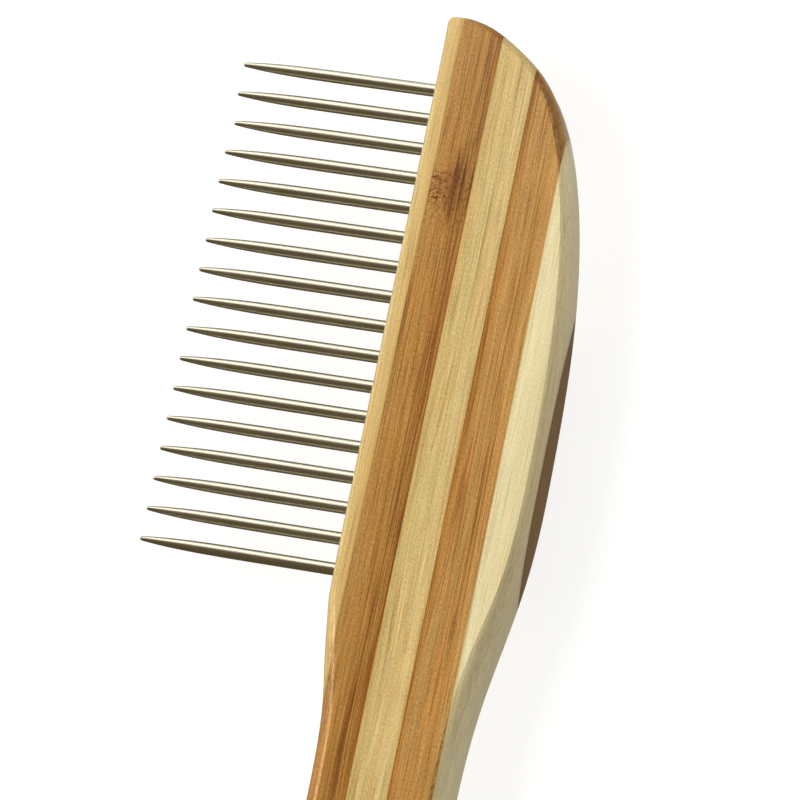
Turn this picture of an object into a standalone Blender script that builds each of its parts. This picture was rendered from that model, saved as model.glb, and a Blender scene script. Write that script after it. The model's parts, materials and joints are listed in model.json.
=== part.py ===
"""Rotating-pin pet comb: a laminated bamboo handle with 17 turned steel pins.

The comb is drawn in its own frame, lying on its back: the pins point to -X, the head is at +Y, the
handle runs to -Y, and Z is the thickness, with Z = 0 in the middle of the board. X = 0 is the edge
that the pins stand on, and Y = 0 is the middle of the row of pins. An empty then carries everything,
so that the finished comb stands on Z = 0 with its box centred over the origin.
"""
import math

import bmesh
import bpy
import numpy as np

MM = 0.001

# ---- driving dimensions ----
THICKNESS = 12.7 * MM           # half-inch board
HEAD_TOP = 47.3 * MM            # highest point of the head above the middle of the pins
HANDLE_END = -155.3 * MM
HANDLE_MIDDLE = 12.95 * MM      # centre line of the handle
SPINE_MAX = 27.24 * MM          # widest point of the head, measured from the pin edge

PIN_COUNT = 17
PIN_PITCH = 4.6 * MM
PIN_LENGTH = 30.3 * MM          # the part that shows
PIN_RADIUS = 0.94 * MM
PIN_TIP_RADIUS = 0.34 * MM
PIN_TIP_ANGLES = (35.0, 65.0)   # degrees round the dome of the tip
PIN_TAPER_POWER = 6.0           # how quickly the pin fattens from its tip
PIN_TAPER_SHARES = (0.0, 0.06, 0.15, 0.35, 1.0)     # sections from the tip, as shares of the length
SHORT_PIN = "pin_03"
SHORT_PIN_LENGTH = 29.8 * MM
PIN_HEAD_RADIUS = 1.40 * MM
PIN_HEAD_FRONT = 5.3 * MM       # depth of the pin's head under the pin edge
PIN_HEAD_BACK = 6.5 * MM

HOLE_RADIUS = 1.70 * MM
HOLE_DEPTH = 7.0 * MM
HOLE_OVERRUN = 5.0 * MM         # the drill starts this far outside the board
SLEEVE_RADIUS = 1.60 * MM
SLEEVE_BORE = 1.08 * MM
SLEEVE_FRONT = 0.7 * MM         # the sleeve sits this far under the pin edge
SLEEVE_BACK = 5.0 * MM

SEAMS = [2.98 * MM, 9.15 * MM, 15.05 * MM, 21.39 * MM, 27.44 * MM]   # glue lines on the front face
SEAM_LEAN = math.radians(7.5)   # the strips lean a little in the thickness of the board
GLUE_LINE = 0.1 * MM            # space left between two strips
WAIST_Y = -66.0 * MM            # narrowest place, where the edge strip is cut away

# ---- rounding of the board's long edges: part of an ellipse, deeper than it is wide ----
ROUND_DEPTH = 4.0 * MM
ROUND_START = math.radians(78.0)        # just short of a quarter turn, which leaves a crease at the face
ROUND_WIDTH_PINS = 1.2 * MM
ROUND_WIDTH_SPINE = 1.5 * MM
ROUND_WIDTH_HANDLE = 2.2 * MM
ROUND_WIDTH_CORNER = 0.85 * MM
ROUND_BLEND = 6.0 * MM          # from the pin edge's rounding to the spine's, across the board
CORNER_RADIUS = 1.4 * MM
CORNER_DROP = 0.15 * MM         # the top corner ends this far under the highest point
CORNER_REACH = 5.0 * MM         # the rounding grows to its full width over this distance
NECK_TOP, NECK_BOTTOM = -34.0 * MM, -52.0 * MM
BEYOND = 60.0 * MM              # cutting slabs reach this far past the board

ROUND_STEPS = 4                 # facets across each rounding
TURNED_SIDES = 12               # facets round each turned piece
LONGEST_FACET = 9.0 * MM
SHARPEST_TURN = math.radians(11.0)

# ---- the board's outline, clockwise from the head's top corner; the pin edge itself is straight ----
CORNER = (CORNER_RADIUS, HEAD_TOP - CORNER_DROP - CORNER_RADIUS)     # centre of the top corner
CORNER_END = math.radians(100.0)
PIN_EDGE_END = -40.6 * MM
SPINE_POINTS = [(3.1, 47.3), (6.8, 46.45), (11.1, 43.95), (15.7, 40.15), (19.5, 34.4), (22.55, 26.2),
                (25.15, 14.3), (26.7, 0.4), (27.24, -16.0), (26.9, -31.6), (25.35, -43.4),
                (23.75, -54.2), (23.08, -64.5)]
HANDLE_POINTS = [(10.5, -82.0), (11.9, -99.0), (12.5, -117.0), (11.6, -135.0), (7.6, -149.6)]
NECK_POINTS = [(2.81, -66.0), (2.25, -57.0), (1.18, -50.4), (0.28, -43.9)]


def smooth_path(points, start_tangent, end_tangent, step):
    """Points at about the given step along a cubic spline with continuous curvature."""
    knots = np.array(points)
    chords = np.linalg.norm(np.diff(knots, axis=0), axis=1)
    last = len(knots) - 1
    matrix = np.eye(last + 1)
    target = np.zeros((last + 1, 2))
    target[0], target[last] = start_tangent, end_tangent
    for i in range(1, last):
        before, after = chords[i - 1], chords[i]
        matrix[i, i - 1:i + 2] = 1 / before, 2 * (1 / before + 1 / after), 1 / after
        target[i] = 3 * ((knots[i] - knots[i - 1]) / before ** 2 + (knots[i + 1] - knots[i]) / after ** 2)
    slopes = np.linalg.solve(matrix, target)
    path = []
    for i in range(last):
        count = max(1, round(chords[i] / step))
        for k in range(count):
            t = k / count
            path.append((1 + 2 * t) * (1 - t) ** 2 * knots[i] + t * t * (3 - 2 * t) * knots[i + 1]
                        + t * (1 - t) ** 2 * chords[i] * slopes[i]
                        - t * t * (1 - t) * chords[i] * slopes[i + 1])
    path.append(knots[last])
    return path


def board_outline():
    """Fine points round the board: corner, head, spine, handle, neck, and back up the pin edge."""
    corner = [(CORNER[0] + CORNER_RADIUS * math.cos(a), CORNER[1] + CORNER_RADIUS * math.sin(a))
              for a in np.linspace(math.pi, CORNER_END, 9)]
    half_handle = [(x * MM, y * MM) for x, y in HANDLE_POINTS]
    knots = [corner[-1]]
    knots += [(x * MM, y * MM) for x, y in SPINE_POINTS]
    knots += [(HANDLE_MIDDLE + x, y) for x, y in half_handle]
    knots += [(HANDLE_MIDDLE, HANDLE_END)]
    knots += [(HANDLE_MIDDLE - x, y) for x, y in reversed(half_handle)]
    knots += [(x * MM, y * MM) for x, y in NECK_POINTS]
    knots += [(0.0, PIN_EDGE_END)]
    start = (math.sin(CORNER_END), -math.cos(CORNER_END))
    return corner[:-1] + smooth_path(knots, start, (0.0, 1.0), 0.5 * MM)


def inward_normals(outline):
    """Unit normals that point into the board, for an outline that runs clockwise."""
    points = np.array(outline)
    along = np.roll(points, -1, axis=0) - np.roll(points, 1, axis=0)
    along /= np.linalg.norm(along, axis=1)[:, None]
    return np.stack([along[:, 1], -along[:, 0]], axis=1)


def thin_out(points, normals):
    """Keep a point when the outline has run far enough, or turned far enough, since the last one."""
    kept, used = [0], 0.0
    for i in range(1, len(points)):
        run = np.linalg.norm(points[i] - points[i - 1])
        turn = math.acos(min(1.0, float(np.dot(normals[i], normals[i - 1]))))
        used += run / LONGEST_FACET + turn / SHARPEST_TURN
        if used >= 1.0:
            kept.append(i)
            used = 0.0
    return points[kept], normals[kept]


def smooth_step(value):
    value = min(1.0, max(0.0, value))
    return value * value * (3 - 2 * value)


def rounding_width(x, y):
    """Width of the edge rounding: narrow at the pins and the corner, wide along the handle."""
    across = smooth_step(x / ROUND_BLEND)
    width = ROUND_WIDTH_PINS + (ROUND_WIDTH_SPINE - ROUND_WIDTH_PINS) * across
    down = smooth_step((NECK_TOP - y) / (NECK_TOP - NECK_BOTTOM))
    width += (ROUND_WIDTH_HANDLE - width) * down
    from_corner = smooth_step(math.hypot(x, y - HEAD_TOP) / CORNER_REACH)
    return ROUND_WIDTH_CORNER + (width - ROUND_WIDTH_CORNER) * from_corner


def board_mesh():
    """The whole board before it is parted into strips: rings of one outline, rounded to each face."""
    outline = board_outline()
    points, normals = thin_out(np.array(outline), inward_normals(outline))
    flat = THICKNESS / 2 - ROUND_DEPTH
    levels = [ROUND_START * (1 - k / ROUND_STEPS) for k in range(ROUND_STEPS + 1)]
    sections = [(flat + ROUND_DEPTH * math.sin(a) / math.sin(ROUND_START),
                 (1 - math.cos(a)) / (1 - math.cos(ROUND_START))) for a in levels]
    sections += [(-z, inset) for z, inset in reversed(sections)]
    bm = bmesh.new()
    rings = []
    for z, inset in sections:
        ring = []
        for point, normal in zip(points, normals):
            x, y = point + normal * rounding_width(*point) * inset
            ring.append(bm.verts.new((x, y, z)))
        rings.append(ring)
    bm.faces.new(reversed(rings[0]))
    bm.faces.new(rings[-1])
    for upper, lower in zip(rings, rings[1:]):
        for i in range(len(upper)):
            j = (i + 1) % len(upper)
            bm.faces.new((upper[i], upper[j], lower[j], lower[i]))
    bmesh.ops.recalc_face_normals(bm, faces=bm.faces)
    return bm


def to_object(bm, name, collection):
    mesh = bpy.data.meshes.new(name)
    bm.to_mesh(mesh)
    bm.free()
    thing = bpy.data.objects.new(name, mesh)
    collection.objects.link(thing)
    return thing


def box(name, low, high, collection):
    bm = bmesh.new()
    bmesh.ops.create_cube(bm, size=1.0)
    for vert in bm.verts:
        vert.co = [a + (b - a) * (c + 0.5) for a, b, c in zip(low, high, vert.co)]
    return to_object(bm, name, collection)


def turned(name, profile, collection, is_ring=False):
    """A solid turned round Z from (radius, height) points that run down its outer side."""
    bm = bmesh.new()
    verts = [bm.verts.new((radius, 0.0, height)) for radius, height in profile]
    if is_ring:
        verts.append(verts[0])
    for upper, lower in zip(verts, verts[1:]):
        bm.edges.new((upper, lower))
    thing = to_object(bm, name, collection)
    screw = thing.modifiers.new("turn", "SCREW")
    screw.axis = "Z"
    screw.steps = screw.render_steps = TURNED_SIDES
    screw.use_merge_vertices = True
    screw.merge_threshold = 0.00001
    screw.use_smooth_shade = True
    return thing


def cut(thing, cutter, operation):
    boolean = thing.modifiers.new(cutter.name, "BOOLEAN")
    boolean.operation = operation
    boolean.object = cutter
    boolean.solver = "EXACT"


def make_material(name, colour, roughness, metallic=0.0):
    material = bpy.data.materials.new(name)
    material.use_nodes = True
    shader = material.node_tree.nodes["Principled BSDF"]
    shader.inputs["Base Color"].default_value = (*colour, 1.0)
    shader.inputs["Roughness"].default_value = roughness
    shader.inputs["Metallic"].default_value = metallic
    return material


def pin_profile():
    """Head, shank and long taper of one pin; height 0 is the pin edge and the tip is at the top."""
    tip_base = PIN_LENGTH - PIN_TIP_RADIUS
    profile = [(0.0, PIN_LENGTH)]
    for angle in PIN_TIP_ANGLES:
        a = math.radians(angle)
        profile.append((PIN_TIP_RADIUS * math.sin(a), tip_base + PIN_TIP_RADIUS * math.cos(a)))
    for share in PIN_TAPER_SHARES:
        radius = PIN_RADIUS - (PIN_RADIUS - PIN_TIP_RADIUS) * (1 - share) ** PIN_TAPER_POWER
        profile.append((radius, tip_base * (1 - share)))
    profile += [(PIN_RADIUS, -PIN_HEAD_FRONT), (PIN_HEAD_RADIUS, -PIN_HEAD_FRONT),
                (PIN_HEAD_RADIUS, -PIN_HEAD_BACK), (0.0, -PIN_HEAD_BACK)]
    return profile


def sleeve_profile():
    """Section of the sleeve's wall; it closes on itself."""
    return [(SLEEVE_RADIUS, -SLEEVE_FRONT), (SLEEVE_RADIUS, -SLEEVE_BACK),
            (SLEEVE_BORE, -SLEEVE_BACK), (SLEEVE_BORE, -SLEEVE_FRONT)]


def strip_cutter(name, left, right, low_y, high_y, cutters):
    """A leaning slab between two glue lines, which are given by their places on the front face."""
    slab = box(name, (left, low_y, -THICKNESS), (right, high_y, THICKNESS), cutters)
    shear = math.tan(SEAM_LEAN)
    for vert in slab.data.vertices:
        vert.co.x += shear * (vert.co.z - THICKNESS / 2)
    return slab


def make_strips(comb, cutters, hole_cutter):
    """The six bamboo strips; the first is in two lengths, because the waist cuts it away."""
    pale = make_material("pale_bamboo", (0.72, 0.55, 0.29), 0.42)
    brown = make_material("carbonised_bamboo", (0.45, 0.23, 0.075), 0.42)
    dark = make_material("dark_bamboo", (0.16, 0.075, 0.035), 0.45)
    top, bottom = HEAD_TOP + BEYOND, HANDLE_END - BEYOND
    gap = GLUE_LINE / 2
    lines = [-BEYOND] + SEAMS + [SPINE_MAX + BEYOND]
    plan = [("strip_1_head", 0, WAIST_Y, top, pale), ("strip_1_handle", 0, bottom, WAIST_Y, pale),
            ("strip_2", 1, bottom, top, brown), ("strip_3", 2, bottom, top, pale),
            ("strip_4", 3, bottom, top, brown), ("strip_5", 4, bottom, top, pale),
            ("strip_6_spine", 5, WAIST_Y, top, dark)]
    strips = []
    for name, place, low_y, high_y, material in plan:
        strip = to_object(board_mesh(), name, comb)
        slab = strip_cutter("slab_" + name, lines[place] + gap, lines[place + 1] - gap,
                            low_y, high_y, cutters)
        cut(strip, slab, "INTERSECT")
        if name in ("strip_1_head", "strip_2"):
            cut(strip, hole_cutter, "DIFFERENCE")
        strip.data.materials.append(material)
        strips.append(strip)
    return strips


def make_hole_cutter(cutters):
    """All the blind holes for the sleeves, as one cutter of separate cylinders."""
    length = HOLE_DEPTH + HOLE_OVERRUN
    bm = bmesh.new()
    for index in range(PIN_COUNT):
        made = bmesh.ops.create_cone(bm, cap_ends=True, segments=TURNED_SIDES, radius1=HOLE_RADIUS,
                                     radius2=HOLE_RADIUS, depth=length)
        for vert in made["verts"]:
            x, y, z = vert.co
            vert.co = (HOLE_DEPTH - length / 2 + z, pin_y(index) + x, y)
    return to_object(bm, "sleeve_holes", cutters)


def pin_y(index):
    """Place of a pin along the comb; the first is nearest the top of the head."""
    return ((PIN_COUNT - 1) / 2 - index) * PIN_PITCH


def make_turned_set(comb, name, profile, material, is_ring=False):
    """One turned piece for each hole, sharing a mesh, with its axis pointing out along -X."""
    pieces = []
    for index in range(PIN_COUNT):
        label = f"{name}_{index + 1:02d}"
        if pieces:
            piece = pieces[0].copy()
            piece.name = label
            comb.objects.link(piece)
        else:
            piece = turned(label, profile, comb, is_ring)
            piece.data.materials.append(material)
        piece.location = (0.0, pin_y(index), 0.0)
        piece.rotation_euler = (0.0, -math.pi / 2, 0.0)
        pieces.append(piece)
    return pieces


def shorten(pin, length):
    """Give one pin its own mesh, with the part that shows brought in to the given length."""
    pin.data = pin.data.copy()
    for vert in pin.data.vertices:
        if vert.co.z > 0.0:
            vert.co.z *= length / PIN_LENGTH


def main():
    for thing in list(bpy.data.objects):
        bpy.data.objects.remove(thing, do_unlink=True)
    comb = bpy.data.collections.new("rotating_pin_comb")
    cutters = bpy.data.collections.new("cutters")
    bpy.context.scene.collection.children.link(comb)
    bpy.context.scene.collection.children.link(cutters)

    steel = make_material("polished_steel", (0.62, 0.60, 0.56), 0.22, 1.0)
    brass = make_material("sleeve_brass", (0.72, 0.52, 0.24), 0.35, 1.0)
    pieces = make_strips(comb, cutters, make_hole_cutter(cutters))
    pieces += make_turned_set(comb, "pin", pin_profile(), steel)
    shorten(bpy.data.objects[SHORT_PIN], SHORT_PIN_LENGTH)
    pieces += make_turned_set(comb, "sleeve", sleeve_profile(), brass, is_ring=True)

    centre = bpy.data.objects.new("comb_frame", None)
    comb.objects.link(centre)
    centre.location = ((PIN_LENGTH - SPINE_MAX) / 2, -(HEAD_TOP + HANDLE_END) / 2, THICKNESS / 2)
    for thing in pieces + list(cutters.objects):
        thing.parent = centre
    for cutter in cutters.objects:
        cutter.hide_render = True
        cutter.display_type = "WIRE"


main()
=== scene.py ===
"""Looks of the rotating-pin comb: fine bamboo strips, turned steel pins and brass sleeves.

Everything is in metres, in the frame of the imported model. The comb's own frame is used for drawing:
X = 0 is the edge that the pins stand on, Y = 0 the middle of the row of pins, and Z = 0 the middle of
the board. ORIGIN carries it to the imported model.
"""

import json
import math

import bmesh
import bpy
import numpy as np
from mathutils import Matrix, Vector


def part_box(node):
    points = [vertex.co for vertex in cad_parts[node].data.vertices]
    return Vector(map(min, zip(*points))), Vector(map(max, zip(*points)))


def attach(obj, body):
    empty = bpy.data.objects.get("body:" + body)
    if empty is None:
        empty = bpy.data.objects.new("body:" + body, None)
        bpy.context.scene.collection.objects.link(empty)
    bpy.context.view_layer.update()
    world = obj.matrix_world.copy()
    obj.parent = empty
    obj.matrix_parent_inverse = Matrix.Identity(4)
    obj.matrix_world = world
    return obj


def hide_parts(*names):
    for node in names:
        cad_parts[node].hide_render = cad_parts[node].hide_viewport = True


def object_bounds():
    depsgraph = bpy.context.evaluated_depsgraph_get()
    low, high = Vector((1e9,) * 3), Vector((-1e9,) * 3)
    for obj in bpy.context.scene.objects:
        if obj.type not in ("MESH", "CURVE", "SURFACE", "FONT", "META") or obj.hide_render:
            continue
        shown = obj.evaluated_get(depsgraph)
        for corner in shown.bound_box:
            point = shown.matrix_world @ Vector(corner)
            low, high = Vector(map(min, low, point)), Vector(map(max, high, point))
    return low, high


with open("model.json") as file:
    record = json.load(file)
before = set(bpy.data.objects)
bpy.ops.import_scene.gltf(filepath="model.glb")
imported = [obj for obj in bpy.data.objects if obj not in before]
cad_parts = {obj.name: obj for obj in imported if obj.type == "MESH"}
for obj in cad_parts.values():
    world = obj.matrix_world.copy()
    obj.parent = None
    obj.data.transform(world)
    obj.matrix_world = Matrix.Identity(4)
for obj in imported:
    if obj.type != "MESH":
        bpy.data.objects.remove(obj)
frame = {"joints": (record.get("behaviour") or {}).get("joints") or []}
cad_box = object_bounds()

MM = 0.001
PIN_JOINTS = [j for j in frame["joints"] if j["name"].startswith("pin_")]
PIN_NAMES = [j["child"] for j in PIN_JOINTS]
PIN_PLACES = [Vector(j["pos_m"]) for j in PIN_JOINTS]
ORIGIN = (PIN_PLACES[0] + PIN_PLACES[-1]) / 2


def box_size(node, axis):
    low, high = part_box(node)
    return high[axis] - low[axis]


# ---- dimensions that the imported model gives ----
THICKNESS = box_size("strip_3", 2)
PIN_HEAD_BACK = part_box("pin_01")[1][0] - ORIGIN.x
PIN_HEAD_RADIUS = box_size("pin_01", 2) / 2
SLEEVE_RADIUS = box_size("sleeve_01", 2) / 2
SLEEVE_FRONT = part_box("sleeve_01")[0][0] - ORIGIN.x
SLEEVE_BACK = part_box("sleeve_01")[1][0] - ORIGIN.x
HEAD_TOP = cad_box[1][1] - ORIGIN.y
HANDLE_END = cad_box[0][1] - ORIGIN.y

# ---- the rest of the design, as the part has it ----
HANDLE_MIDDLE = 12.95 * MM
PIN_RADIUS = 0.94 * MM
PIN_TIP_RADIUS = 0.34 * MM
PIN_TAPER_POWER = 6.0
PIN_HEAD_FRONT = 5.3 * MM
SLEEVE_BORE = 1.08 * MM
HOLE_RADIUS = 1.70 * MM
HOLE_DEPTH = 7.0 * MM
HOLE_CHAMFER = 0.15 * MM
SEAMS = [2.98 * MM, 9.15 * MM, 15.05 * MM, 21.39 * MM, 27.44 * MM]
SEAM_LEAN = math.radians(7.5)
WAIST_Y = -66.0 * MM
ROUND_DEPTH = 4.0 * MM
ROUND_START = math.radians(78.0)
ROUND_WIDTH_PINS = 1.2 * MM
ROUND_WIDTH_SPINE = 1.5 * MM
ROUND_WIDTH_HANDLE = 2.2 * MM
ROUND_WIDTH_CORNER = 0.85 * MM
ROUND_BLEND = 6.0 * MM
CORNER_RADIUS = 1.4 * MM
CORNER_DROP = 0.15 * MM
CORNER_REACH = 5.0 * MM
NECK_TOP, NECK_BOTTOM = -34.0 * MM, -52.0 * MM
CORNER = (CORNER_RADIUS, HEAD_TOP - CORNER_DROP - CORNER_RADIUS)
CORNER_END = math.radians(100.0)
PIN_EDGE_END = -40.6 * MM
# Points of the outline in mm. A handle point's X is its distance from the handle's middle line.
SPINE_POINTS = [(3.1, 47.3), (6.8, 46.45), (11.1, 43.95), (15.7, 40.15), (19.5, 34.4), (22.55, 26.2),
                (25.15, 14.3), (26.7, 0.4), (27.24, -16.0), (26.9, -31.6), (25.35, -43.4),
                (23.75, -54.2), (23.08, -64.5)]
HANDLE_POINTS = [(10.5, -82.0), (11.9, -99.0), (12.5, -117.0), (11.6, -135.0), (7.6, -149.6)]
NECK_POINTS = [(2.81, -66.0), (2.25, -57.0), (1.18, -50.4), (0.28, -43.9)]

# ---- how finely it is drawn ----
ROUND_STEPS = 10
CORNER_STEPS = 16
OUTLINE_STEP = 0.8 * MM
TIP_STEPS = 9
TAPER_STEPS = 32
TURNED_SIDES = 48
FACE_RIM = 1.06                 # the flat face starts this far in, as a share of the rounding's width
PIN_HEAD_CHAMFER = 0.15 * MM
SLEEVE_CHAMFER = 0.18 * MM
DRILL_OVERRUN = 2.0 * MM
SHARP = math.radians(17.0)      # a turn sharper than this shows as a crease
CUT_TOLERANCE = 1e-8
ON_AXIS = 1e-9


# ---------------------------------------------------------------- shapes

def smooth_path(points, start_tangent, end_tangent, step):
    """Points at about the given step along a cubic spline with continuous curvature."""
    knots = np.array(points)
    chords = np.linalg.norm(np.diff(knots, axis=0), axis=1)
    last = len(knots) - 1
    matrix = np.eye(last + 1)
    target = np.zeros((last + 1, 2))
    target[0], target[last] = start_tangent, end_tangent
    for i in range(1, last):
        before, after = chords[i - 1], chords[i]
        matrix[i, i - 1:i + 2] = 1 / before, 2 * (1 / before + 1 / after), 1 / after
        target[i] = 3 * ((knots[i] - knots[i - 1]) / before ** 2 + (knots[i + 1] - knots[i]) / after ** 2)
    slopes = np.linalg.solve(matrix, target)
    path = []
    for i in range(last):
        count = max(1, round(chords[i] / step))
        for k in range(count):
            t = k / count
            path.append((1 + 2 * t) * (1 - t) ** 2 * knots[i] + t * t * (3 - 2 * t) * knots[i + 1]
                        + t * (1 - t) ** 2 * chords[i] * slopes[i]
                        - t * t * (1 - t) * chords[i] * slopes[i + 1])
    path.append(knots[last])
    return path


def board_outline():
    """Fine points round the board: corner, head, spine, handle, neck, and back up the pin edge."""
    corner = [(CORNER[0] + CORNER_RADIUS * math.cos(a), CORNER[1] + CORNER_RADIUS * math.sin(a))
              for a in np.linspace(math.pi, CORNER_END, CORNER_STEPS + 1)]
    half_handle = [(x * MM, y * MM) for x, y in HANDLE_POINTS]
    knots = [corner[-1]]
    knots += [(x * MM, y * MM) for x, y in SPINE_POINTS]
    knots += [(HANDLE_MIDDLE + x, y) for x, y in half_handle]
    knots += [(HANDLE_MIDDLE, HANDLE_END)]
    knots += [(HANDLE_MIDDLE - x, y) for x, y in reversed(half_handle)]
    knots += [(x * MM, y * MM) for x, y in NECK_POINTS]
    knots += [(0.0, PIN_EDGE_END)]
    start = (math.sin(CORNER_END), -math.cos(CORNER_END))
    path = smooth_path(knots, start, (0.0, 1.0), OUTLINE_STEP)
    straight = np.linspace(PIN_EDGE_END, CORNER[1], round((CORNER[1] - PIN_EDGE_END) / OUTLINE_STEP) + 1)
    return corner[:-1] + path + [(0.0, y) for y in straight[1:-1]]


def inward_normals(outline):
    """Unit normals that point into the board, for an outline that runs clockwise."""
    points = np.array(outline)
    along = np.roll(points, -1, axis=0) - np.roll(points, 1, axis=0)
    along /= np.linalg.norm(along, axis=1)[:, None]
    return np.stack([along[:, 1], -along[:, 0]], axis=1)


def smooth_step(value):
    value = min(1.0, max(0.0, value))
    return value * value * (3 - 2 * value)


def rounding_width(x, y):
    """Width of the edge rounding: narrow at the pins and the corner, wide along the handle."""
    across = smooth_step(x / ROUND_BLEND)
    width = ROUND_WIDTH_PINS + (ROUND_WIDTH_SPINE - ROUND_WIDTH_PINS) * across
    down = smooth_step((NECK_TOP - y) / (NECK_TOP - NECK_BOTTOM))
    width += (ROUND_WIDTH_HANDLE - width) * down
    from_corner = smooth_step(math.hypot(x, y - HEAD_TOP) / CORNER_REACH)
    return ROUND_WIDTH_CORNER + (width - ROUND_WIDTH_CORNER) * from_corner


def board_mesh():
    """The whole board before it is parted into strips: rings of one outline, rounded to each face."""
    outline = board_outline()
    points, normals = np.array(outline), inward_normals(outline)
    widths = [rounding_width(*point) for point in points]
    flat = THICKNESS / 2 - ROUND_DEPTH
    levels = [ROUND_START * (1 - k / ROUND_STEPS) for k in range(ROUND_STEPS + 1)]
    sections = [(THICKNESS / 2, FACE_RIM)]
    sections += [(flat + ROUND_DEPTH * math.sin(a) / math.sin(ROUND_START),
                  (1 - math.cos(a)) / (1 - math.cos(ROUND_START))) for a in levels]
    sections += [(-z, inset) for z, inset in reversed(sections)]
    bm = bmesh.new()
    rings = []
    for z, inset in sections:
        ring = []
        for point, normal, width in zip(points, normals, widths):
            x, y = point + normal * width * inset
            ring.append(bm.verts.new((x, y, z)))
        rings.append(ring)
    bm.faces.new(reversed(rings[0]))
    bm.faces.new(rings[-1])
    for upper, lower in zip(rings, rings[1:]):
        for i in range(len(upper)):
            j = (i + 1) % len(upper)
            bm.faces.new((upper[i], upper[j], lower[j], lower[i]))
    bmesh.ops.recalc_face_normals(bm, faces=bm.faces)
    return bm


def keep_side(bm, point, normal):
    """Cuts the solid along a plane, drops what the normal points to, and closes the cut."""
    geometry = bm.verts[:] + bm.edges[:] + bm.faces[:]
    bmesh.ops.bisect_plane(bm, geom=geometry, plane_co=point, plane_no=normal, dist=CUT_TOLERANCE,
                           clear_outer=True)
    rim = [edge for edge in bm.edges if edge.is_boundary]
    if rim:
        bmesh.ops.holes_fill(bm, edges=rim, sides=0)


def link(bm, name):
    """A smooth-shaded object from a mesh drawn in the comb's own frame."""
    bmesh.ops.translate(bm, verts=bm.verts, vec=ORIGIN)
    mesh = bpy.data.meshes.new(name)
    bm.to_mesh(mesh)
    bm.free()
    mesh.shade_smooth()
    mesh.set_sharp_from_angle(angle=SHARP)
    thing = bpy.data.objects.new(name, mesh)
    bpy.context.scene.collection.objects.link(thing)
    return thing


def lathe(bm, profile, place, ring=False):
    """Turns (radius, distance out of the edge) points round a line along -X through place."""
    loops = []
    for radius, out in profile:
        if radius < ON_AXIS:
            loops.append([bm.verts.new(place + Vector((-out, 0.0, 0.0)))])
            continue
        loop = []
        for k in range(TURNED_SIDES):
            a = 2 * math.pi * k / TURNED_SIDES
            loop.append(bm.verts.new(place + Vector((-out, radius * math.cos(a), radius * math.sin(a)))))
        loops.append(loop)
    pairs = list(zip(loops, loops[1:]))
    if ring:
        pairs.append((loops[-1], loops[0]))
    for first, second in pairs:
        for k in range(TURNED_SIDES):
            n = (k + 1) % TURNED_SIDES
            corners = [first[k % len(first)], first[n % len(first)],
                       second[n % len(second)], second[k % len(second)]]
            bm.faces.new(list(dict.fromkeys(corners)))


def turned(name, profile, places, ring=False):
    """An object with the profile turned at each of the places, which are in the model's frame."""
    bm = bmesh.new()
    for place in places:
        lathe(bm, profile, place - ORIGIN, ring)
    bmesh.ops.recalc_face_normals(bm, faces=bm.faces)
    return link(bm, name)


def pin_profile(length):
    """From the tip down to the back of the hidden head."""
    profile = [(0.0, length)]
    tip_base = length - PIN_TIP_RADIUS
    for k in range(1, TIP_STEPS):
        a = math.pi / 2 * k / TIP_STEPS
        profile.append((PIN_TIP_RADIUS * math.sin(a), tip_base + PIN_TIP_RADIUS * math.cos(a)))
    for k in range(TAPER_STEPS + 1):
        share = k / TAPER_STEPS
        radius = PIN_RADIUS - (PIN_RADIUS - PIN_TIP_RADIUS) * (1 - share) ** PIN_TAPER_POWER
        profile.append((radius, tip_base * (1 - share)))
    edge = PIN_HEAD_CHAMFER
    profile += [(PIN_RADIUS, -PIN_HEAD_FRONT), (PIN_HEAD_RADIUS - edge, -PIN_HEAD_FRONT),
                (PIN_HEAD_RADIUS, -PIN_HEAD_FRONT - edge), (PIN_HEAD_RADIUS, -PIN_HEAD_BACK + edge),
                (PIN_HEAD_RADIUS - edge, -PIN_HEAD_BACK), (0.0, -PIN_HEAD_BACK)]
    return profile


def sleeve_profile():
    """A closed ring: round the outside and back through the bore."""
    edge = SLEEVE_CHAMFER
    return [(SLEEVE_BORE + edge, -SLEEVE_FRONT), (SLEEVE_RADIUS - edge, -SLEEVE_FRONT),
            (SLEEVE_RADIUS, -SLEEVE_FRONT - edge), (SLEEVE_RADIUS, -SLEEVE_BACK + edge),
            (SLEEVE_RADIUS - edge, -SLEEVE_BACK), (SLEEVE_BORE, -SLEEVE_BACK),
            (SLEEVE_BORE, -SLEEVE_FRONT - edge)]


def hole_profile():
    """A blind hole with a chamfered mouth, from outside the edge to its flat bottom."""
    mouth = HOLE_RADIUS + HOLE_CHAMFER
    return [(0.0, DRILL_OVERRUN), (mouth + DRILL_OVERRUN, DRILL_OVERRUN), (HOLE_RADIUS, -HOLE_CHAMFER),
            (HOLE_RADIUS, -HOLE_DEPTH), (0.0, -HOLE_DEPTH)]


# ---------------------------------------------------------------- node helpers

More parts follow.
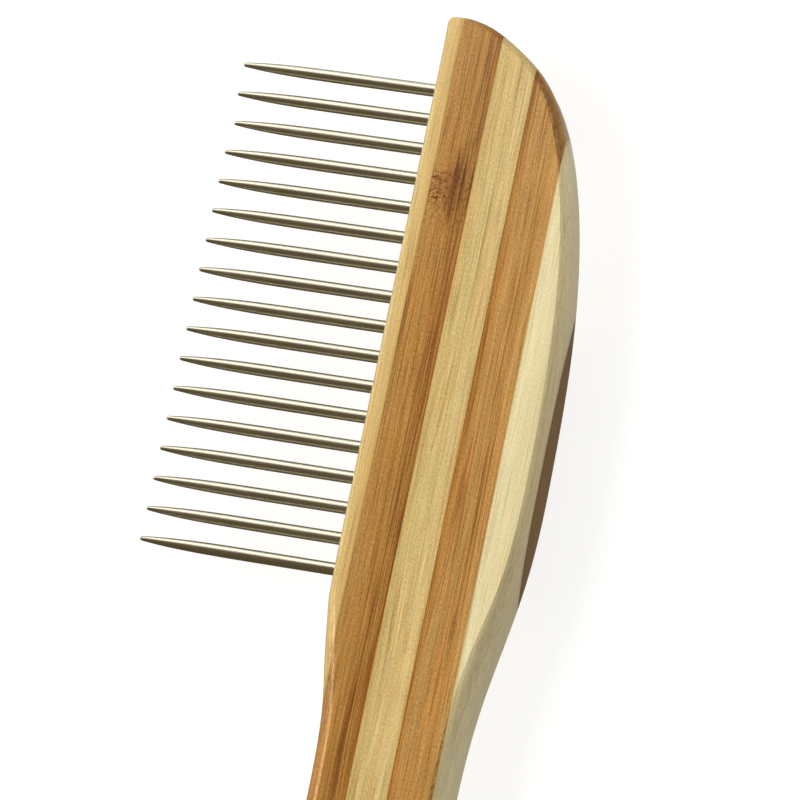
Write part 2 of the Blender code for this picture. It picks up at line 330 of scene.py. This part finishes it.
class Tree:
    """Short calls for building a material's nodes."""

    def __init__(self, name):
        self.material = bpy.data.materials.new(name)
        self.material.use_nodes = True
        self.tree = self.material.node_tree
        self.shader = self.tree.nodes["Principled BSDF"]

    def node(self, kind, **inputs):
        made = self.tree.nodes.new(kind)
        for key, value in inputs.items():
            self.put(made.inputs[key], value)
        return made

    def put(self, socket, value):
        """Links a socket, or sets a plain number or colour on it."""
        if isinstance(value, bpy.types.NodeSocket):
            self.tree.links.new(value, socket)
        else:
            socket.default_value = value

    def math(self, operation, *values, clamp=False):
        made = self.tree.nodes.new("ShaderNodeMath")
        made.operation = operation
        made.use_clamp = clamp
        for socket, value in zip(made.inputs, values):
            self.put(socket, value)
        return made.outputs[0]

    def mix(self, factor, first, second, blend="MIX"):
        made = self.tree.nodes.new("ShaderNodeMix")
        made.data_type = "RGBA"         # its colour sockets are inputs 6 and 7 and output 2
        made.blend_type = blend
        self.put(made.inputs[0], factor)
        self.put(made.inputs[6], self.colour(first))
        self.put(made.inputs[7], self.colour(second))
        return made.outputs[2]

    def stain(self, amount, colour, tint):
        """Multiplies a colour by a tint, as far as amount says."""
        return self.mix(amount, colour, self.mix(1.0, colour, tint, "MULTIPLY"))

    def weighted(self, *pairs):
        """The sum of values times their weights."""
        total = None
        for value, weight in pairs:
            part = self.math("MULTIPLY", value, weight)
            total = part if total is None else self.math("ADD", total, part)
        return total

    def near_zero(self, value, reach, stops):
        """A ramp over how far a value is from zero, as a share of reach."""
        return self.ramp(self.math("ABSOLUTE", self.math("DIVIDE", value, reach)), stops)

    @staticmethod
    def colour(value):
        if isinstance(value, bpy.types.NodeSocket) or len(value) == 4:
            return value
        return (*value, 1.0)

    def ramp(self, value, stops):
        """A smooth map from one number to another, through (position, result) stops."""
        made = self.tree.nodes.new("ShaderNodeValToRGB")
        made.color_ramp.interpolation = "EASE"
        points = made.color_ramp.elements
        for position, result in stops[2:]:
            points.new(position)
        for point, (position, result) in zip(points, stops):
            point.position = position
            point.color = (result, result, result, 1.0)
        self.put(made.inputs[0], value)
        return made.outputs[0]

    def bands(self, value, stops):
        """Colours blended across a value that runs from 0 to 1."""
        made = self.tree.nodes.new("ShaderNodeValToRGB")
        points = made.color_ramp.elements
        for position, colour in stops[2:]:
            points.new(position)
        for point, (position, colour) in zip(points, stops):
            point.position = position
            point.color = (*[max(DARKEST, part - GLOSS_HAZE) for part in srgb(*colour)], 1.0)
        self.put(made.inputs[0], value)
        return made.outputs[0]

    def grey(self, value):
        """A colour from one number."""
        made = self.tree.nodes.new("ShaderNodeCombineXYZ")
        for socket in made.inputs:
            self.put(socket, value)
        return made.outputs[0]

    def noise(self, x, y, z, detail, roughness):
        vector = self.node("ShaderNodeCombineXYZ", X=x, Y=y, Z=z).outputs[0]
        return self.node("ShaderNodeTexNoise", Vector=vector, Scale=1.0, Detail=detail,
                         Roughness=roughness).outputs[0]

    def grain(self, place, size, detail=2.0, roughness=0.6):
        """Noise either side of zero, at an (across, along, through) place in mm, with marks about
        size = (width, length along the grain) in mm."""
        (across, along, through), (wide, long) = place, size
        value = self.noise(self.math("DIVIDE", across, wide), self.math("DIVIDE", along, long),
                           self.math("DIVIDE", through, wide), detail, roughness)
        return self.math("SUBTRACT", value, 0.5)


def srgb(red, green, blue):
    """Linear colour from 0 to 255 screen values."""
    out = []
    for value in (red, green, blue):
        value /= 255
        out.append(value / 12.92 if value <= 0.04045 else ((value + 0.055) / 1.055) ** 2.4)
    return tuple(out)


# ---------------------------------------------------------------- materials

# Palettes: (share of the way across the strip, screen colour). GLOSS_HAZE is the white that the
# lacquer adds over the wood's own colour, and DARKEST the least that is left of a colour without it.
GLOSS_HAZE = 0.012
DARKEST = 0.004
PALE_EDGE = [(0.0, (226, 204, 150)), (0.45, (224, 200, 146)), (0.65, (219, 191, 133)),
             (0.85, (214, 184, 122)), (1.0, (207, 172, 106))]
BROWN = [(0.0, (180, 137, 78)), (0.14, (179, 134, 74)), (0.36, (178, 132, 71)), (0.50, (172, 125, 64)),
         (0.62, (179, 134, 73)), (0.73, (166, 119, 60)), (0.84, (175, 129, 69)), (1.0, (162, 112, 52))]
PALE = [(0.0, (205, 176, 114)), (0.2, (208, 182, 122)), (0.4, (212, 189, 132)), (0.55, (209, 182, 121)),
        (0.75, (216, 192, 137)), (0.9, (215, 188, 128)), (1.0, (210, 178, 114))]
TAWNY = [(0.0, (170, 116, 54)), (0.08, (182, 133, 68)), (0.25, (193, 148, 88)), (0.45, (185, 140, 79)),
         (0.6, (190, 145, 84)), (0.75, (182, 136, 74)), (0.9, (196, 151, 90)), (1.0, (191, 142, 78))]
PALEST = [(0.0, (228, 211, 160)), (0.12, (233, 223, 180)), (0.4, (230, 217, 173)), (0.7, (227, 213, 168)),
          (1.0, (224, 209, 164))]
DARK = [(0.0, (140, 108, 66)), (0.5, (132, 101, 60)), (1.0, (124, 94, 56))]
GLUE_LINE = (98, 48, 12)

# Where dark fibre bundles gather: (share of the way across the strip, how thickly).
EVEN = ((0.0, 0.5), (1.0, 0.5))
SPARSE = ((0.0, 0.4), (1.0, 0.4))
TO_THE_RIGHT = ((0.0, 0.3), (0.45, 0.35), (0.72, 1.0), (1.0, 0.9))
TO_THE_LEFT = ((0.0, 1.0), (0.12, 0.6), (0.3, 0.35), (0.6, 0.6), (1.0, 0.2))

# Marks in the bamboo: (width, length along the grain) in mm.
WANDER = (5.0, 55.0)
BROAD = (1.3, 80.0)
MEDIUM = (0.45, 30.0)
FINE = (0.18, 9.0)
DUST = (0.16, 0.45)
WARMTH = (0.8, 30.0)
THICK_BUNDLE = (0.34, 30.0)
THIN_BUNDLE = (0.20, 12.0)
# The next size is no mark in the wood: it mottles the painted shade on the rounding.
PAINTED_SHADE_MOTTLE = (0.55, 0.9)
RING_EDGE = (0.6, 4.0)
RING_STREAK = (0.36, 9.0)
RING_SCALE = (1.1, 0.42)
RING_SPOT = (0.5, 0.8)

# Tints that those marks multiply the colour by.
WARM_TINT = (1.07, 0.94, 0.82)
COOL_TINT = (0.95, 1.02, 1.00)
BUNDLE_TINT = (0.62, 0.46, 0.28)
# The next tint is painted shade, not a mark: it darkens the rounding just past its crease.
PAINTED_SHADE_TINT = (0.50, 0.46, 0.46)
RING_TINT = (0.76, 0.66, 0.52)
STREAK_TINT = (0.47, 0.31, 0.13)
SCALE_TINT = (0.44, 0.28, 0.12)
SPOT_TINT = (0.62, 0.46, 0.30)
CENTRE_TINT = (0.50, 0.34, 0.18)

# How strongly they show.
WANDER_REACH_MM = 1.2
BROAD_WEIGHT, MEDIUM_WEIGHT, FINE_WEIGHT, DUST_WEIGHT = 0.3, 0.6, 1.3, 1.6
DUST_WARMTH = 0.8
TINT_GAIN = 5.0
CROWDING_GAIN = 0.14
BUNDLE_STOPS = (0.13, 0.24)
ROUND_DEPTH_MM = ROUND_DEPTH / MM

# Marks in a metre along a turned piece and round it.
TURNING_PER_M = (14000.0, 900.0)
SMUDGE_PER_M = (160.0, 500.0)


def grain_coordinates(t, shift):
    """Comb coordinates in millimetres, squared up with the leaning strips and moved for each strip."""
    place = t.node("ShaderNodeTexCoord").outputs["Object"]
    parts = t.node("ShaderNodeSeparateXYZ", Vector=place).outputs
    front = (ORIGIN.x, ORIGIN.y, ORIGIN.z + THICKNESS / 2)
    x, y, z = [t.math("MULTIPLY", t.math("SUBTRACT", part, zero), 1 / MM)
               for part, zero in zip(parts, front)]
    square = t.math("SUBTRACT", x, t.math("MULTIPLY", z, math.tan(SEAM_LEAN)))
    return square, t.math("ADD", y, shift), z


def bamboo(name, left, right, bands, shift, contrast, crowding=EVEN, rings=(), painted_shade=0.0, sheen=0.4):
    """One strip's bamboo. left and right are its glue lines on the front face in mm, bands the
    colours across it from left to right, shift a move along the grain in mm that gives it its own
    marks, contrast how strongly the grain shows, crowding where dark fibre bundles gather across the
    strip, rings the (x, y) places in mm of the growth rings, painted_shade how strongly painted shade
    darkens the rounding just past its crease, and sheen how hazy the lacquer looks where it turns away."""
    t = Tree(name)
    place = grain_coordinates(t, shift)
    across, along, through = place
    wander = t.grain(place, WANDER, 1.0, 0.5)
    bent = t.math("ADD", across, t.math("MULTIPLY", wander, WANDER_REACH_MM))
    share = t.math("DIVIDE", t.math("SUBTRACT", bent, left), right - left)
    colour = t.bands(share, bands)

    # Lines along the grain lighten and darken the bands, and turn them warmer and cooler.
    fibres = (bent, along, through)
    medium = t.grain(fibres, MEDIUM)
    fine = t.grain(fibres, FINE)
    dust = t.grain(fibres, DUST)
    light = t.weighted((t.grain(fibres, BROAD, 2.0, 0.5), BROAD_WEIGHT), (medium, MEDIUM_WEIGHT),
                       (fine, FINE_WEIGHT), (dust, DUST_WEIGHT))
    light = t.math("ADD", t.math("MULTIPLY", light, contrast), 1.0)
    colour = t.mix(1.0, colour, t.grey(light), "MULTIPLY")

    warmth = t.math("ADD", t.grain(fibres, WARMTH), t.math("MULTIPLY", dust, DUST_WARMTH))
    colour = t.stain(t.math("MULTIPLY", warmth, TINT_GAIN * contrast, clamp=True), colour, WARM_TINT)
    colour = t.stain(t.math("MULTIPLY", warmth, -TINT_GAIN * contrast, clamp=True), colour, COOL_TINT)

    # Dark fibre bundles.
    gather = t.ramp(share, crowding)
    starts, full = BUNDLE_STOPS
    for size, most in ((THICK_BUNDLE, 0.85), (THIN_BUNDLE, 0.6)):
        bundles = t.grain(fibres, size, 1.0, 0.5)
        bundles = t.math("ADD", bundles, t.math("MULTIPLY", gather, CROWDING_GAIN))
        dark = t.math("MULTIPLY", t.ramp(bundles, [(starts, 0.0), (full, most)]), contrast, clamp=True)
        colour = t.stain(dark, colour, BUNDLE_TINT)
    for x, y in rings:
        colour = growth_ring(t, colour, place, x, y + shift)

    # Painted shade: the rounding is mottled dark just past its crease, less and less down to 0.6 of its
    # depth.
    fallen = t.math("DIVIDE", through, -ROUND_DEPTH_MM)
    blotchy = t.math("SUBTRACT", fallen, t.math("MULTIPLY", t.grain(place, PAINTED_SHADE_MOTTLE, 3.0, 0.65), 0.8))
    mark = t.ramp(blotchy, [(0.03, 0.0), (0.06, painted_shade), (0.22, painted_shade * 0.6), (0.6, 0.0)])
    on_rounding = t.ramp(fallen, [(0.004, 0.0), (0.02, 1.0)])
    colour = t.stain(t.math("MULTIPLY", mark, on_rounding), colour, PAINTED_SHADE_TINT)

    # Glue lines, a ragged 0.2 mm wide on each side, darker where the bundles gather.
    for line in (left, right):
        off = t.math("ABSOLUTE", t.math("SUBTRACT", across, line))
        off = t.math("SUBTRACT", off, t.math("MULTIPLY", medium, 0.8))
        shade = t.ramp(off, [(0.03, 0.55), (0.20, 0.0)])
        colour = t.mix(t.math("MULTIPLY", shade, gather, clamp=True), colour, srgb(*GLUE_LINE))

    t.put(t.shader.inputs["Base Color"], colour)
    t.put(t.shader.inputs["Roughness"], t.math("ADD", 0.40, t.math("MULTIPLY", fine, 0.3)))
    t.shader.inputs["Specular IOR Level"].default_value = 0.35
    t.shader.inputs["Sheen Weight"].default_value = sheen
    t.shader.inputs["Sheen Roughness"].default_value = 0.25
    t.shader.inputs["Coat Weight"].default_value = 0.5
    t.shader.inputs["Coat Roughness"].default_value = 0.16
    relief = t.weighted((fine, 0.6), (medium, 0.4))
    bump = t.node("ShaderNodeBump", Strength=0.4, Distance=0.05 * MM, Height=relief)
    t.put(t.shader.inputs["Normal"], bump.outputs[0])
    return t.material


def growth_ring(t, colour, place, x, y):
    """The scar where a leaf sheath grew, at (x, y) mm: scaly arcs across the grain on its left, and
    fibres that run out of it dark and streaky, mostly toward the head."""
    across, along, through = place
    ahead = t.math("SUBTRACT", along, y)
    side = t.math("SUBTRACT", across, x)
    ragged = t.grain(place, RING_EDGE, 2.0, 0.7)

    # The whole scar: a ragged diamond that reaches 8 mm along the grain and 5 mm across it.
    reach = t.math("ADD", t.math("ABSOLUTE", t.math("DIVIDE", ahead, 8.0)),
                   t.math("ABSOLUTE", t.math("DIVIDE", t.math("SUBTRACT", side, 0.6), 5.0)))
    reach = t.math("SUBTRACT", reach, t.math("MULTIPLY", ragged, 2.0))
    colour = t.stain(t.ramp(reach, [(0.25, 0.8), (1.0, 0.0)]), colour, RING_TINT)

    # Dark streaks on its right, from 6 mm behind it to 12 mm ahead.
    right_part = t.ramp(t.math("DIVIDE", t.math("ADD", side, 2.2), 2.4), [(0.2, 0.0), (1.0, 1.0)])
    streaks = t.ramp(t.grain(place, RING_STREAK, 2.0, 0.5), [(0.0, 0.0), (0.10, 0.95)])
    fading = t.ramp(t.math("DIVIDE", t.math("ADD", ahead, 6.0), 18.0),
                    [(0.0, 0.0), (0.30, 0.55), (0.45, 1.0), (0.62, 0.8), (1.0, 0.0)])
    streaks = t.math("MULTIPLY", t.math("MULTIPLY", streaks, fading), right_part)
    colour = t.stain(streaks, colour, STREAK_TINT)

    # Arcs on its left, within 3.2 mm of it and bowed round a crest 1.8 mm to the left.
    crest = t.math("ADD", side, 1.8)
    arch = t.math("ADD", ahead, t.math("MULTIPLY", t.math("MULTIPLY", crest, crest), 0.2))
    scales = t.ramp(t.grain((across, arch, through), RING_SCALE), [(0.01, 0.0), (0.09, 1.0)])
    inside = t.near_zero(ahead, 3.2, [(0.55, 1.0), (1.0, 0.0)])
    inside = t.math("MULTIPLY", inside, t.math("SUBTRACT", 1.15, right_part), clamp=True)
    colour = t.stain(t.math("MULTIPLY", scales, inside), colour, SCALE_TINT)

    # Spots, around a point 1.5 mm behind it.
    spots = t.ramp(t.grain(place, RING_SPOT, 2.0, 0.65), [(0.0, 0.0), (0.12, 0.75)])
    around = t.near_zero(t.math("ADD", ahead, 1.5), 6.5, [(0.4, 1.0), (1.0, 0.0)])
    colour = t.stain(t.math("MULTIPLY", spots, around), colour, SPOT_TINT)

    # A wavering dark line down its middle.
    line = t.math("ADD", 0.1, t.math("MULTIPLY", ragged, 0.8))
    off = t.math("ABSOLUTE", t.math("SUBTRACT", side, line))
    centre = t.math("MULTIPLY", t.near_zero(ahead, 7.0, [(0.5, 0.75), (1.0, 0.0)]),
                    t.ramp(off, [(0.10, 1.0), (0.34, 0.0)]))
    return t.stain(centre, colour, CENTRE_TINT)


def turned_metal(name, base, dull, roughness, mark_depth):
    """Metal with the fine rings that turning and polishing leave round it."""
    t = Tree(name)
    place = t.node("ShaderNodeTexCoord").outputs["Object"]
    x, y, z = t.node("ShaderNodeSeparateXYZ", Vector=place).outputs
    rings, smudge = [t.noise(t.math("MULTIPLY", x, along), t.math("MULTIPLY", y, around),
                             t.math("MULTIPLY", z, around), 3.0, 0.6)
                     for along, around in (TURNING_PER_M, SMUDGE_PER_M)]
    t.put(t.shader.inputs["Base Color"], t.mix(t.math("MULTIPLY", rings, 0.5), base, dull))
    t.put(t.shader.inputs["Roughness"], t.ramp(smudge, [(0.0, roughness * 0.85), (1.0, roughness * 1.2)]))
    t.shader.inputs["Metallic"].default_value = 1.0
    bump = t.node("ShaderNodeBump", Strength=0.3, Distance=mark_depth, Height=rings)
    t.put(t.shader.inputs["Normal"], bump.outputs[0])
    return t.material


# ---------------------------------------------------------------- pieces

SEAMS_MM = [seam / MM for seam in SEAMS]
BEFORE_PINS_MM = -2.9                       # both lie outside the board, so no glue line shows there
PAST_SPINE_MM = SEAMS_MM[4] + 6.1
GROWTH_RING_MM = (6.4, 20.3)
DRILLED = ("strip_1_head", "strip_2")


def make_strips():
    """The strips, each cut from the same fine board between its two leaning glue lines."""
    lean = Vector((1.0, 0.0, -math.tan(SEAM_LEAN))).normalized()
    toward_head = Vector((0.0, 1.0, 0.0))
    pale_edge = bamboo("bamboo_pale_edge", BEFORE_PINS_MM, SEAMS_MM[0], PALE_EDGE, 11.0, 0.5)
    brown = bamboo("bamboo_brown", SEAMS_MM[0], SEAMS_MM[1], BROWN, 47.0, 1.0, TO_THE_RIGHT,
                   [GROWTH_RING_MM], painted_shade=0.25, sheen=0.25)
    pale = bamboo("bamboo_pale", SEAMS_MM[1], SEAMS_MM[2], PALE, 183.0, 0.65, SPARSE)
    tawny = bamboo("bamboo_tawny", SEAMS_MM[2], SEAMS_MM[3], TAWNY, 311.0, 0.9, TO_THE_LEFT, painted_shade=0.9)
    palest = bamboo("bamboo_palest", SEAMS_MM[3], SEAMS_MM[4], PALEST, 77.0, 0.35)
    dark = bamboo("bamboo_dark", SEAMS_MM[4], PAST_SPINE_MM, DARK, 23.0, 0.9, sheen=0.1)
    # Each piece: name, the seams on its left and right (None is the board's own edge), the end kept
    # (1 the head's, -1 the handle's, 0 both), material and slot.
    plan = [("strip_1_head", None, 0, 1, pale_edge, "pale_bamboo"),
            ("strip_1_handle", None, 0, -1, pale_edge, "pale_bamboo"),
            ("strip_2", 0, 1, 0, brown, "brown_bamboo"),
            ("strip_3", 1, 2, 0, pale, "pale_bamboo"),
            ("strip_4", 2, 3, 0, tawny, "brown_bamboo"),
            ("strip_5", 3, 4, 0, palest, "pale_bamboo"),
            ("strip_6_spine", 4, None, 0, dark, "dark_bamboo")]
    drill = turned("drill", hole_profile(), PIN_PLACES)
    for name, left, right, end, material, slot in plan:
        bm = board_mesh()
        if left is not None:
            keep_side(bm, (SEAMS[left], 0.0, THICKNESS / 2), -lean)
        if right is not None:
            keep_side(bm, (SEAMS[right], 0.0, THICKNESS / 2), lean)
        if end:
            keep_side(bm, (0.0, WAIST_Y, 0.0), -end * toward_head)
        strip = link(bm, "bamboo_" + name)
        if name in DRILLED:
            drill_out(strip, drill)
        strip.data.materials.append(material)
        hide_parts(name)
        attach(strip, "handle")
    bpy.data.objects.remove(drill, do_unlink=True)


def drill_out(strip, drill):
    """Cuts the blind holes and keeps the result as the strip's mesh."""
    boolean = strip.modifiers.new("holes", "BOOLEAN")
    boolean.operation = "DIFFERENCE"
    boolean.solver = "EXACT"
    boolean.object = drill
    evaluated = strip.evaluated_get(bpy.context.evaluated_depsgraph_get())
    strip.data = bpy.data.meshes.new_from_object(evaluated)
    strip.modifiers.clear()
    strip.data.materials.clear()
    strip.data.shade_smooth()
    strip.data.set_sharp_from_angle(angle=SHARP)


def make_turned_pieces():
    """A pin and its sleeve at each place in the row."""
    steel = turned_metal("polished_steel", srgb(240, 236, 218), srgb(216, 211, 190), 0.31, 0.0008 * MM)
    brass = turned_metal("turned_brass", srgb(214, 178, 104), srgb(176, 138, 70), 0.3, 0.006 * MM)
    for name, place in zip(PIN_NAMES, PIN_PLACES):
        number = name.split("_")[1]
        length = ORIGIN.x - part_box(name)[0][0]
        pin = turned("steel_" + name, pin_profile(length), [place])
        pin.data.materials.append(steel)
        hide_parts(name)
        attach(pin, name)
        sleeve = turned("brass_sleeve_" + number, sleeve_profile(), [place], ring=True)
        sleeve.data.materials.append(brass)
        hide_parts("sleeve_" + number)
        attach(sleeve, "handle")


# ---------------------------------------------------------------- camera, floor and light

SENSOR_WIDTH_MM = 36.0
LENS_MM = 224.5
CAMERA_TOWARD = (0.2270, -0.2271, 0.9471)   # from the comb to the camera
CAMERA_UP = (-0.1465, 0.9534, 0.2637)
CAMERA_MIDDLE = (3.61 * MM, -10.48 * MM, 0.0)   # what it looks at, in the comb's frame
CAMERA_DISTANCE = 0.7257

FLOOR_HALF = 3.0
FLOOR_GAP = 0.2 * MM
FLOOR_GREY = (0.25, 0.25, 0.25, 1.0)
FLOOR_GLOW = 0.84                           # keeps the shadow on it as faint as in a light tent

# Each light: name, direction from the comb, distance, width, height, brightness, colour, whether it
# lights the dull surfaces, and whether it glows in the glossy ones.
STUDIO = [
    ("key", (-0.70, -0.05, 0.71), 1.2, 0.6, 0.7, 10.0, (1.0, 0.99, 0.96), True, False),
    ("right_fill", (0.60, 0.66, 0.45), 1.2, 0.8, 1.0, 0.7, (1.0, 0.98, 0.95), True, False),
    ("head_fill", (0.15, 0.90, 0.30), 1.2, 1.0, 0.7, 2.2, (1.0, 0.98, 0.95), True, False),
    ("panel", (-0.227, 0.655, 0.720), 1.0, 1.3, 0.80, 1.35, (1.0, 0.99, 0.92), True, True),
    ("skyline", (-0.227, 0.950, 0.200), 1.0, 1.3, 0.40, 0.6, (0.90, 0.95, 1.0), False, True),
    ("glint", (-0.870, 0.230, 0.435), 1.0, 0.16, 1.2, 6.0, (1.0, 0.97, 0.90), False, True),
]
ROOM_COLOUR, ROOM_STRENGTH = (1.0, 0.76, 0.42, 1.0), 0.09
WALL_COLOUR = (0.93, 0.93, 0.92, 1.0)


def aim(thing, place, toward, up):
    """Puts a camera or light at place, looking against `toward`, with `up` upward in its picture."""
    back = Vector(toward).normalized()
    right = Vector(up).cross(back).normalized()
    thing.matrix_world = Matrix.Translation(place) @ Matrix(
        (right, back.cross(right), back)).transposed().to_4x4()


def make_camera():
    """A long lens above the front face, a little to the spine's side and toward the handle."""
    data = bpy.data.cameras.new("camera")
    data.sensor_width = SENSOR_WIDTH_MM
    data.lens = LENS_MM
    data.clip_end = 10.0
    camera = bpy.data.objects.new("camera", data)
    bpy.context.scene.collection.objects.link(camera)
    middle = ORIGIN + Vector(CAMERA_MIDDLE)
    aim(camera, middle + Vector(CAMERA_TOWARD).normalized() * CAMERA_DISTANCE, CAMERA_TOWARD, CAMERA_UP)
    bpy.context.scene.camera = camera


def make_floor():
    """A pale floor just under the comb, which doesn't show in the gloss of the pieces."""
    bm = bmesh.new()
    bmesh.ops.create_grid(bm, x_segments=1, y_segments=1, size=FLOOR_HALF)
    mesh = bpy.data.meshes.new("floor")
    bm.to_mesh(mesh)
    bm.free()
    floor = bpy.data.objects.new("floor", mesh)
    bpy.context.scene.collection.objects.link(floor)
    floor.location.z = -FLOOR_GAP
    t = Tree("pale_floor")
    t.shader.inputs["Base Color"].default_value = FLOOR_GREY
    t.shader.inputs["Roughness"].default_value = 1.0
    t.shader.inputs["Specular IOR Level"].default_value = 0.0
    t.shader.inputs["Emission Color"].default_value = (1.0, 1.0, 1.0, 1.0)
    t.shader.inputs["Emission Strength"].default_value = FLOOR_GLOW
    mesh.materials.append(t.material)
    floor.visible_glossy = False


def make_light(name, direction, distance, width, height, brightness, colour, lights, glows):
    """A soft panel aimed at the comb. A brightness of 1 looks white on the screen when mirrored."""
    data = bpy.data.lights.new(name, "AREA")
    data.shape = "RECTANGLE"
    data.size = width
    data.size_y = height
    data.energy = brightness * math.pi * width * height
    data.color = colour
    light = bpy.data.objects.new(name, data)
    bpy.context.scene.collection.objects.link(light)
    toward = Vector(direction).normalized()
    aim(light, ORIGIN + toward * distance, toward, (0.0, 1.0, 0.2))
    light.visible_camera = False
    light.visible_diffuse = lights
    light.visible_glossy = glows


def make_world():
    """A dim warm room to the comb, and a pale wall where the floor ends to anyone looking."""
    world = bpy.data.worlds.new("studio")
    world.use_nodes = True
    nodes, links = world.node_tree.nodes, world.node_tree.links
    room = nodes["Background"]
    room.inputs["Color"].default_value = ROOM_COLOUR
    room.inputs["Strength"].default_value = ROOM_STRENGTH
    wall = nodes.new("ShaderNodeBackground")
    wall.inputs["Color"].default_value = WALL_COLOUR
    both = nodes.new("ShaderNodeMixShader")
    links.new(nodes.new("ShaderNodeLightPath").outputs["Is Camera Ray"], both.inputs[0])
    links.new(room.outputs[0], both.inputs[1])
    links.new(wall.outputs[0], both.inputs[2])
    links.new(both.outputs[0], nodes["World Output"].inputs["Surface"])
    bpy.context.scene.world = world


make_camera()
make_strips()
make_turned_pieces()
make_floor()
for light in STUDIO:
    make_light(*light)
make_world()
bpy.context.scene.view_settings.view_transform = "Standard"
